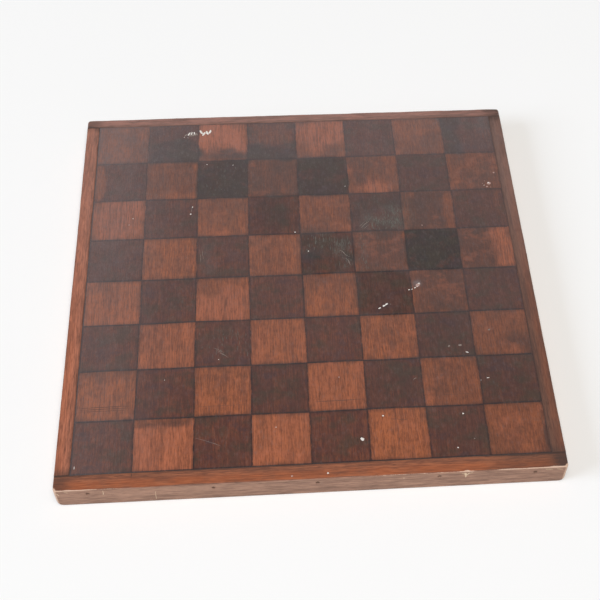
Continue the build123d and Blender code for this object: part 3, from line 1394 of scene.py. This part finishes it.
@dataclass
class Marks:
    """Marks of one kind on the board, as one piece.

    Attributes:
        kind: Which kind.
        finish: What they are made of.
        panel: The panel, which knows how high the ground is.
    """

    kind: Paint | Mark
    finish: PlainFinish
    panel: RuledPanel

    def dress(self, piece: bpy.types.Object) -> None:
        """Gives the marks their finish and ties them to the frame.

        Args:
            piece: The marks' object.
        """
        piece.data.materials.append(self.finish.make())
        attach(piece, BODY)


@dataclass
class PaintFlecks(Marks):
    """Every dried drop of one paint on the top of the board.

    Attributes:
        thick: How thick a drop is at its middle.
        sunk: How far its rim lies under the ground.
        ragged: How far its outline swings out twice round, and three times round.
        rings: How many rings of points it has.
        spokes: How many points a ring has.
    """

    thick: float = 0.10
    sunk: float = 0.04
    ragged: Pair = (0.16, 0.12)
    rings: int = 4
    spokes: int = 16

    def drop(self, fleck: Fleck, seed: int) -> Array:
        """Works out one drop's upper skin: height t (1 - r^2)^0.5 over a ragged round outline.

        Args:
            fleck: The drop.
            seed: Which ragged outline it has.

        Returns:
            Its points: the middle first, and then ring by ring to its edge.
        """
        chance = np.random.default_rng(seed)
        angle = np.linspace(0.0, 2 * math.pi, self.spokes, endpoint=False)
        waves = chance.uniform(-1.0, 1.0, 4)
        ragged = 1.0 + self.ragged[0] * waves[0] * np.sin(2 * angle + waves[1] * 3)
        ragged = ragged + self.ragged[1] * waves[2] * np.sin(3 * angle + waves[3] * 3)
        share = np.linspace(0.0, 1.0, self.rings + 1)[1:, None]
        out = share * ragged[None, :] * fleck.radius
        u, v = out * np.cos(angle) * fleck.longer, out * np.sin(angle)
        turn = math.radians(fleck.turn)
        x = fleck.x + u * math.cos(turn) - v * math.sin(turn)
        y = fleck.y + u * math.sin(turn) + v * math.cos(turn)
        base = float(self.panel.ground(np.array([fleck.x]), np.array([fleck.y]))[0]) - self.sunk
        up = base + self.thick * np.sqrt(np.maximum(1.0 - share**2, 0.0)) * np.ones_like(angle)
        rim = np.stack([x, y, up], axis=-1).reshape(-1, 3)
        return np.concatenate([[[fleck.x, fleck.y, base + self.thick]], rim])

    def drop_faces(self) -> list[list[int]]:
        """Lists one drop's faces: a fan, rings of four-sided faces, and one flat face beneath.

        Returns:
            The point numbers of each face.
        """
        after = np.roll(np.arange(self.spokes), -1)
        fan = [[0, 1 + spoke, 1 + int(after[spoke])] for spoke in range(self.spokes)]
        rings = (grid_faces(self.rings, self.spokes, closed=True)[:, ::-1] + 1).tolist()
        last = 1 + (self.rings - 1) * self.spokes
        beneath = list(range(last, last + self.spokes))[::-1]
        return [*fan, *rings, beneath]

    def mesh(self) -> bpy.types.Object:
        """Builds all the drops of this paint.

        Returns:
            Their object.
        """
        flecks = [Fleck(*row) for row in FLECKS[self.kind]]
        drops = [self.drop(fleck, FLECK_SEED + number) for number, fleck in enumerate(flecks)]
        return make_copies(self.kind.value, drops, self.drop_faces())


class Mark(Enum):
    """What a stroke is, by the name of the piece that holds all of its kind."""

    SCUFF = "pale_scuffs"
    RULED = "ruling_strokes"
    BLOOM = "bloom_hairlines"
    NICK = "bare_nicks"


@dataclass(frozen=True)
class Stroke:
    """A thin line rubbed or ruled on the top of the board, or a nick in its front face.

    Attributes:
        start: Where it starts: X and Y in millimetres, or X and Z on the front face.
        end: Where it ends.
        width: How wide it is at its middle.
        bow: How far its middle stands to the left of a straight way.
    """

    start: Pair
    end: Pair
    width: float
    bow: float = 0.0


# X, Y and radius, then how much longer it is and which way it points, where it isn't round
FLECKS = {
    Paint.WHITE: (
        (-110.8, 192, 0.9, 3.2, 60),
        (-108.2, 192.6, 0.8, 3.4, 75),
        (-105.4, 192.4, 0.9, 3, 95),
        (-115.6, 187.6, 0.4, 1.4, 30),
        (-112, 186.6, 0.35),
        (-98.4, 194.2, 1.4, 2.4, 115),
        (-95.6, 191.6, 1.5, 2, 65),
        (-92.2, 193, 1.5, 2.1, 110),
        (-89.2, 194.4, 1.3, 2.4, 70),
        (191.2, 110.3, 1.2),
        (186.3, 107.3, 0.45),
        (-92, 148, 0.6),
        (-65.7, 146, 0.55),
        (46.1, 112.2, 0.5),
        (-105.6, 91.1, 0.5, 1.8, 80),
        (-107.4, 82, 0.85),
        (-163.2, 78.6, 0.5),
        (-166.7, 70.6, 0.4),
        (-6.1, 54.2, 0.75),
        (5.8, 29.8, 0.75),
        (107.9, -14.4, 0.8, 1.8, 20),
        (106.2, -17.6, 0.6, 1.5, 60),
        (103.9, -19.3, 0.6, 1.8, 30),
        (101, -20.8, 0.5, 1.4, 20),
        (98.1, -21.4, 0.6, 1.8, 20),
        (75.5, -37.2, 1, 1.7, 35),
        (73.1, -38.9, 1, 1.7, 35),
        (68.8, -41.5, 0.7, 2.4, 30),
        (-79.6, -91.4, 0.45),
        (143.9, -94.7, 0.65, 2.4, -20),
        (-127.1, -110.8, 0.45),
        (159.2, -123.1, 0.4, 4, 5),
        (152.6, -125.3, 0.35),
        (62.5, -157.5, 0.85),
        (132.4, -158.9, 0.9),
        (-30.3, -164, 0.45),
        (43, -179.8, 1.8, 1.05, 60),
        (124, -192.4, 0.75),
        (-199.5, -194.6, 0.3, 6, 90),
        (11.9, -210.9, 0.8, 1.2),
    ),
    Paint.DULL: (
        (-113.6, 190.8, 1, 3, 35),
        (-107, 190.2, 1.6, 3.2, 10),
        (-102.8, 191.6, 0.7, 3.2, 110),
        (79.2, -37.4, 0.4, 1.5, 10),
        (167.2, -70.8, 1, 1.5, 20),
        (138.4, -86.7, 1.3, 1.4),
        (128.3, -87.3, 1.1, 1.2, 60),
        (139.3, -184.3, 0.6),
    ),
    Paint.PINK: (
        (198.4, 124.1, 1, 1.2, 20),
        (191.6, 109.6, 1.9, 1.2, 20),
        (189.1, 105.2, 0.9),
        (187.4, 113.2, 0.4),
        (184.8, 109.6, 0.35),
        (192.6, 104.4, 0.4, 1.3),
        (118.3, 57.4, 0.65),
        (106.9, -16.2, 2, 1.5, 45),
        (26.7, -115.6, 0.7),
        (-18.2, -212.1, 0.9),
    ),
}

# Where it starts and ends, its width and its bow
STROKES = {
    Mark.SCUFF: (
        ((58.3, 56.3), (66.8, 64.9), 0.5, 0.6),
        ((61, 55), (67.5, 61.5), 0.25, 0.4),
        ((56.5, 58.5), (62, 64.5), 0.25, -0.4),
        ((35.3, 29.6), (41, 22), 0.4, 1.5),
        ((38, 30), (45.5, 20.5), 0.3, -1.5),
        ((40, 20), (44.5, 12.5), 0.35, 1.2),
        ((43.5, 18), (46.5, 9.4), 0.3, -1),
        ((-84.7, -78.7), (-75, -84.5), 0.35, 0.8),
        ((-83, -80.5), (-72.5, -88.5), 0.3, 0.6),
        ((-81, -83), (-70.4, -90.3), 0.25, 0.4),
        ((-99.4, -171.2), (-77.4, -180.2), 0.28, 0.5),
        ((92.4, -122.6), (95.8, -120.2), 0.5, 0.9),
        ((-107, 84), (-105.8, 93.5), 0.4),
        ((-98.5, 38), (-97, 20), 0.22, 0.5),
        ((-95.5, 36), (-94, 24), 0.2, -0.4),
    ),
    Mark.RULED: (
        ((-200.5, -136.4), (-153.5, -136), 0.5),
        ((-200, -138.3), (-154, -138), 0.4),
        ((-199, -140.2), (-158, -140), 0.34),
        ((-98, -140), (-56, -139.8), 0.22),
        ((2.5, -140.3), (48, -139.6), 0.45),
        ((105, -139), (146, -138.8), 0.22),
        ((68.3, -161.2), (83.8, -163), 0.36, 0.4),
        ((74, -165), (74.6, -192), 0.22, 0.3),
        ((200.6, -198), (200.4, -155), 0.36),
    ),
    Mark.NICK: (
        ((-175, 23.2), (-175.6, 15.5), 0.6, 0.3),
        ((-132, 18), (-132.6, 3.6), 0.42, -0.4),
        ((75.2, 19.4), (76.4, 19.4), 1),
        ((127.2, 23.6), (128.6, 15.2), 1.7, 0.5),
        ((124.6, 22.6), (128, 21), 0.9),
        ((131.4, 23.4), (129.6, 19.6), 1.2),
        ((134, 23.2), (131, 22), 0.8),
        ((-213.5, 21.8), (-211.5, 17.2), 0.7, 0.3),
        ((-207, 22.9), (-203.2, 21.6), 0.6),
        ((196, 22.8), (203, 22.2), 0.7, 0.2),
        ((206, 22.6), (211.5, 21.2), 0.8, -0.2),
    ),
}


@dataclass(frozen=True)
class Hatching:
    """Short upright hairlines of dry bloom, strewn over a rectangle or its lower right half.

    Attributes:
        corner: The rectangle's left front corner, in millimetres.
        reach: Its size.
        count: How many there are.
        seed: Which ones they are.
        wedge: Whether they keep to the half below its rising diagonal.
        long: The least and the greatest length.
        wide: The least and the greatest width.
        lean: How far a hairline may lean to either side.
    """

    corner: Pair
    reach: Pair
    count: int
    seed: int
    wedge: bool = False
    long: Pair = (1.5, 6.0)
    wide: Pair = (0.18, 0.42)
    lean: float = 0.5

    def strokes(self) -> list[Stroke]:
        """Lists the hairlines.

        Returns:
            A stroke for each.
        """
        chance = np.random.default_rng(self.seed)
        right = chance.uniform(0.0, 1.0, self.count)
        right = np.sqrt(right) if self.wedge else right
        back = chance.uniform(0.0, 1.0, self.count) * (right if self.wedge else 1.0)
        x = self.corner[0] + right * self.reach[0]
        y = self.corner[1] + back * self.reach[1]
        long = chance.uniform(*self.long, self.count)
        wide = chance.uniform(*self.wide, self.count)
        lean = chance.uniform(-self.lean, self.lean, self.count)
        ends = zip(x, y, x + lean, y + long, wide)
        return [Stroke((left, front), (far, top), width) for left, front, far, top, width in ends]


HATCHINGS = (
    Hatching((60.0, 52.5), (36.0, 32.0), 80, 501, wedge=True),
    Hatching((32.0, 8.0), (16.0, 34.0), 34, 502),
    Hatching((2.0, 28.0), (30.0, 20.0), 30, 503),
    Hatching((52.0, 4.0), (10.0, 44.0), 22, 504),
    Hatching((-98.0, -92.0), (44.0, 30.0), 26, 505),
    Hatching((-98.0, 104.0), (44.0, 40.0), 26, 506),
)


@dataclass
class Strokes(Marks):
    """Every stroke of one kind, as thin tapered ribbons.

    Attributes:
        stations: How many sections a ribbon has.
        top_lift: How far the four points of a section on the top stand above it.
        face_depth: How far those of a section on the front face lie behind its foremost points.
        wander: How far a ribbon strays from its way.
        uneven: How much its width comes and goes.
    """

    stations: int = 17
    top_lift: tuple[float, ...] = (0.004, 0.030, 0.004, -0.05)
    face_depth: tuple[float, ...] = (0.010, 0.0, 0.010, 0.14)
    wander: float = 0.10
    uneven: float = 0.35

    def ribbon(self, stroke: Stroke, seed: int) -> Array:
        """Works out one stroke's points, four to a section: left, middle above, right and middle below.

        The middle is start + t way + 4 t (1 - t) bow aside for t from 0 to 1, with a little wander. The
        half width is w / 2 (1.04 - (2t - 1)^4), which comes and goes with noise.

        Args:
            stroke: The stroke.
            seed: Which wander it has.

        Returns:
            Its points, one row each.
        """
        share = np.linspace(0.0, 1.0, self.stations)
        start, end = np.array(stroke.start), np.array(stroke.end)
        way = end - start
        length = float(np.hypot(way[0], way[1]))
        aside = np.array([-way[1], way[0]]) / length
        wander = self.wander * line_noise(share * length, 5.0, seed)
        bow = 4.0 * share * (1.0 - share) * stroke.bow
        middle = start + share[:, None] * way + (bow + wander)[:, None] * aside
        uneven = 1.0 + self.uneven * line_noise(share * length, 2.5, seed + 1)
        half = stroke.width / 2 * (1.04 - (2.0 * share - 1.0) ** 4) * uneven
        out = half[:, None] * aside
        flat = np.stack([middle + out, middle, middle - out, middle], axis=1)
        first, second = flat[..., 0], flat[..., 1]
        if self.kind is Mark.NICK:
            depth = CAD_BOX[0][1] / MM + np.array(self.face_depth) * np.ones_like(first)
            return np.stack([first, depth, second], axis=-1).reshape(-1, 3)
        up = self.panel.ground(first, second) + np.array(self.top_lift)
        return np.stack([first, second, up], axis=-1).reshape(-1, 3)

    def mesh(self) -> bpy.types.Object:
        """Builds all the strokes of this kind.

        Returns:
            Their object.
        """
        if self.kind is Mark.BLOOM:
            strokes = [stroke for hatching in HATCHINGS for stroke in hatching.strokes()]
        else:
            strokes = [Stroke(*row) for row in STROKES[self.kind]]
        last = (self.stations - 1) * 4
        sides = grid_faces(self.stations, 4, closed=True).tolist()
        faces = [*sides, [3, 2, 1, 0], [last, last + 1, last + 2, last + 3]]
        ribbons = [self.ribbon(stroke, STROKE_SEED + 2 * number) for number, stroke in enumerate(strokes)]
        return make_copies(self.kind.value, ribbons, faces)


@dataclass
class EdgePins:
    """The punched heads of the pins, which stay as the frame has them.

    Attributes:
        nodes: The frame's nodes of pins.
        finish: What they are made of.
    """

    nodes: tuple[str, ...]
    finish: PlainFinish

    def dress(self) -> None:
        """Gives every pin its finish."""
        steel = self.finish.make()
        for node in self.nodes:
            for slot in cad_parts[node].material_slots:
                slot.material = steel


def link(name: str, data: Any) -> bpy.types.Object:
    """Puts a lamp or a camera into the scene.

    Args:
        name: Its name.
        data: The lamp or the camera.

    Returns:
        Its object.
    """
    made = bpy.data.objects.new(name, data)
    bpy.context.scene.collection.objects.link(made)
    return made


@dataclass(frozen=True)
class Softbox:
    """A square lamp behind white cloth, turned to the middle of the board.

    Attributes:
        name: The lamp's name.
        place: Where it hangs, in metres.
        side: How wide and high it is.
        share: How much of the light on the playing face it gives, where 1 shows colours as written.
        colour: Its colour.
    """

    name: str
    place: Triple
    side: float
    share: float
    colour: Triple

    def hang(self) -> None:
        """Hangs the lamp. Its power is share pi^2 d^2 / cos t, at distance d and t from overhead."""
        distance = math.dist(self.place, (0.0, 0.0, 0.0))
        lean = self.place[2] / distance
        lamp = bpy.data.lights.new(self.name, "AREA")
        lamp.shape = "SQUARE"
        lamp.size = self.side
        lamp.energy = self.share * math.pi**2 * distance**2 / lean
        lamp.color = self.colour
        hung = link(self.name, lamp)
        hung.location = self.place
        hung.rotation_mode = "QUATERNION"
        hung.rotation_quaternion = (-Vector(self.place)).to_track_quat("-Z", "Y")


@dataclass
class Studio:
    """A pale table top, two softboxes, a little light from all round, and the camera.

    Attributes:
        softboxes: The lamps.
        sky: How bright the light from all round is.
        sky_colour: Its colour.
        floor_colour: The table's colour.
        floor_half: Half the table's width, in millimetres.
        floor_drop: How far the table lies under the board, in millimetres.
        camera_place: Where the camera stands, in metres.
        camera_down: How far it looks down, in degrees.
        camera_right: How far it looks to the right of +Y.
        camera_roll: How far it leans.
        focal_px: Its focal length, in pixels of the picture.
        picture_px: How wide the picture is.
        axis_px: Where the lens points in the picture, from its left. The photograph was cropped, so this
            isn't its middle.
        sensor_mm: How wide the camera's sensor is.
    """

    softboxes: tuple[Softbox, ...] = (
        Softbox("front_softbox", (0.20, -7.40, 16.1), 11.2, 0.755, (1.035, 1.0, 0.95)),
        Softbox("left_window", (-14.7, -3.40, 7.20), 8.0, 0.175, (0.86, 1.0, 1.20)),
    )
    sky: float = 0.17
    sky_colour: Triple = (1.0, 0.995, 0.985)
    floor_colour: Triple = (0.945, 0.945, 0.945)
    floor_half: float = 4000.0
    floor_drop: float = 0.02
    camera_place: Triple = (-0.0177, -0.6865, 0.9015)
    camera_down: float = 53.06
    camera_right: float = 5.98
    camera_roll: float = 2.53
    focal_px: float = 1177.2
    picture_px: float = 600.0
    axis_px: float = 359.7
    sensor_mm: float = 36.0

    def floor(self) -> None:
        """Lays the table top, well past the picture's edges."""
        signs = np.array([[-1.0, -1.0], [1.0, -1.0], [1.0, 1.0], [-1.0, 1.0]])
        corners = np.column_stack([signs * self.floor_half, np.full(4, -self.floor_drop)])
        table = make_piece("table_top", corners, [[0, 1, 2, 3]], {})
        graph = Graph("table_finish")
        cloud = graph.noise((160.0, 120.0, 50.0), 91.0, 3.0, 0.6)
        pale = tuple(part * 1.01 for part in self.floor_colour)
        colour = graph.coats(self.floor_colour, (cloud, pale))
        table.data.materials.append(graph.finish(colour, 0.75, None, 0.0, Specular_IOR_Level=0.0))

    def sky_light(self) -> None:
        """Lights the scene evenly from all round, and shows a white room to the camera and in gloss."""
        world = bpy.data.worlds.new("daylight")
        bpy.context.scene.world = world
        nodes = Nodes(world)
        rays = nodes.node("ShaderNodeLightPath", {}).outputs
        direct = {0: rays["Is Camera Ray"], 1: rays["Is Glossy Ray"]}
        either = nodes.node("ShaderNodeMath", direct, operation="MAXIMUM")
        glow = nodes.node("ShaderNodeBackground", {"Color": rgba(self.sky_colour), "Strength": self.sky})
        seen = nodes.node("ShaderNodeBackground", {"Color": (1.0, 1.0, 1.0, 1.0), "Strength": 1.0})
        both = {0: either.outputs[0], 1: glow.outputs[0], 2: seen.outputs[0]}
        mixed = nodes.node("ShaderNodeMixShader", both)
        nodes.node("ShaderNodeOutputWorld", {0: mixed.outputs[0]})

    def camera(self) -> None:
        """Stands the camera where the photographer stood: forward, right and up vectors, then the roll."""
        down, aside = math.radians(self.camera_down), math.radians(self.camera_right)
        forward = Vector(
            (math.sin(aside) * math.cos(down), math.cos(aside) * math.cos(down), -math.sin(down))
        )
        level = Vector((math.cos(aside), -math.sin(aside), 0.0))
        lift = level.cross(forward)
        roll = math.radians(self.camera_roll)
        right = level * math.cos(roll) + lift * math.sin(roll)
        up = right.cross(forward)
        lens = bpy.data.cameras.new("camera")
        lens.sensor_width = self.sensor_mm
        lens.lens = self.focal_px / self.picture_px * self.sensor_mm
        lens.shift_x = 0.5 - self.axis_px / self.picture_px
        held = link("camera", lens)
        turn = Matrix((right, up, -forward)).transposed().to_4x4()
        held.matrix_world = Matrix.Translation(Vector(self.camera_place)) @ turn
        bpy.context.scene.camera = held

    def build(self) -> None:
        """Lays the table, lights it and stands the camera."""
        self.floor()
        self.sky_light()
        for softbox in self.softboxes:
            softbox.hang()
        self.camera()


def panel_finish() -> PanelFinish:
    """Chooses the wood and the stain of the panel.

    Returns:
        The panel's finish.
    """
    wood = Mahogany(Grain.FRONT_TO_BACK, pale=(0.400, 0.121, 0.049), deep=(0.225, 0.072, 0.036))
    raw = Mahogany(Grain.FRONT_TO_BACK, pale=(0.30, 0.19, 0.13), deep=(0.19, 0.115, 0.08), seed=5.0)
    return PanelFinish(wood, raw)


def strip_finishes() -> dict[str, StripFinish]:
    """Chooses the wood of the four strips, each from its own length of timber.

    Returns:
        The finish of each strip, by its side.
    """
    along, across = Grain.FRONT_TO_BACK, Grain.SIDE_TO_SIDE
    tops = {
        "front": (across, (0.36, 0.125, 0.06), (0.19, 0.065, 0.035), 0.45),
        "back": (across, (0.34, 0.14, 0.10), (0.19, 0.085, 0.062), 0.0),
        # The left strip's pale, pinkish top is partly its own wood and partly painted sheen
        "left": (along, (0.46, 0.165, 0.095), (0.28, 0.10, 0.06), 0.20),
        "right": (along, (0.150, 0.067, 0.043), (0.090, 0.041, 0.030), 0.15),
    }
    made: dict[str, StripFinish] = {}
    for number, (side, (grain, pale, deep, orange)) in enumerate(tops.items()):
        seed = 11.0 + 7.0 * number
        top = Mahogany(grain, pale, deep, seed, contrast=1.1)
        face = Mahogany(grain, (0.435, 0.25, 0.175), (0.285, 0.16, 0.112), seed + 3.0, contrast=1.25)
        made[side] = StripFinish(f"{side}_strip_finish", top, face, orange)
    return made


def edge_strips() -> tuple[EdgeStrip, ...]:
    """Lists the four strips of the edge.

    Returns:
        The strips, from the front round to the left.
    """
    finishes = strip_finishes()
    front = EdgeStrip(
        "front",
        0,
        finishes["front"],
        pin_wander=(0.0, 10.0, 3.0, 12.0, 0.0),
        chips=((129.0, 3.2, 1.2), (205.0, 7.0, 0.6), (-204.0, 4.0, 0.5)),
        rubs=((-206.0, 26.0, 1.0), (190.0, 46.0, 0.9), (-95.0, 90.0, -0.35), (129.0, 8.0, 0.9)),
        smears=((190.0, 55.0, 0.45),),
        arris_shade=0.6,
        tip_wear=1.0,
        overrun=box_mm("panel")[0][0] + SQUARE + FILE_LINE_DRIFT[1],
    )
    right = EdgeStrip("right", 1, finishes["right"], smears=((190.0, 60.0, 0.12),), corner_dirt=9.0)
    back = EdgeStrip("back", 2, finishes["back"], smears=((-185.0, 50.0, 0.15),), arris=1.1)
    left = EdgeStrip("left", 3, finishes["left"], smears=((-190.0, 90.0, 0.10),), corner_dirt=9.0)
    return front, right, back, left


def marks_on(panel: RuledPanel) -> tuple[Marks, ...]:
    """Lists the flecks of each paint and the strokes of each kind, with their finishes.

    Args:
        panel: The panel that they lie on.

    Returns:
        The flecks, and then the strokes.
    """
    paints = {
        Paint.WHITE: PlainFinish("white_paint", (0.86, 0.83, 0.79), (0.60, 0.55, 0.50), 0.6),
        Paint.DULL: PlainFinish("dull_paint", (0.27, 0.22, 0.19), (0.14, 0.105, 0.09), 0.7),
        Paint.PINK: PlainFinish("pink_paint", (0.52, 0.36, 0.32), (0.30, 0.18, 0.155), 0.6),
    }
    lines = {
        Mark.SCUFF: PlainFinish("scuffed_varnish", (0.27, 0.23, 0.20), (0.15, 0.115, 0.10), 0.7),
        Mark.NICK: PlainFinish("bare_wood", (0.78, 0.60, 0.42), (0.56, 0.39, 0.26), 0.7),
        Mark.BLOOM: PlainFinish("dry_bloom", (0.145, 0.140, 0.120), (0.085, 0.080, 0.070), 0.8),
        Mark.RULED: PlainFinish("ruling_ink", (0.085, 0.040, 0.028), (0.030, 0.017, 0.014), 0.6),
    }
    flecks = (PaintFlecks(paint, finish, panel) for paint, finish in paints.items())
    strokes = (Strokes(mark, finish, panel) for mark, finish in lines.items())
    return *flecks, *strokes


def main() -> None:
    """Builds the board piece by piece, lights it and stands the camera."""
    logging.basicConfig(level=logging.INFO, format="%(name)s %(message)s")
    bpy.context.scene.view_settings.view_transform = "Standard"

    panel = RuledPanel(panel_finish())
    for part in (panel, *edge_strips(), *marks_on(panel)):
        piece = part.mesh()
        part.dress(piece)
        LOG.info("%s: %d faces", piece.name, len(piece.data.polygons))
    steel = PlainFinish("dull_steel", (0.26, 0.20, 0.16), (0.11, 0.08, 0.062), 0.5, metal=True)
    EdgePins(("front_pins", "back_pins", "left_pins", "right_pins"), steel).dress()
    Studio().build()


if __name__ == "__main__":
    main()
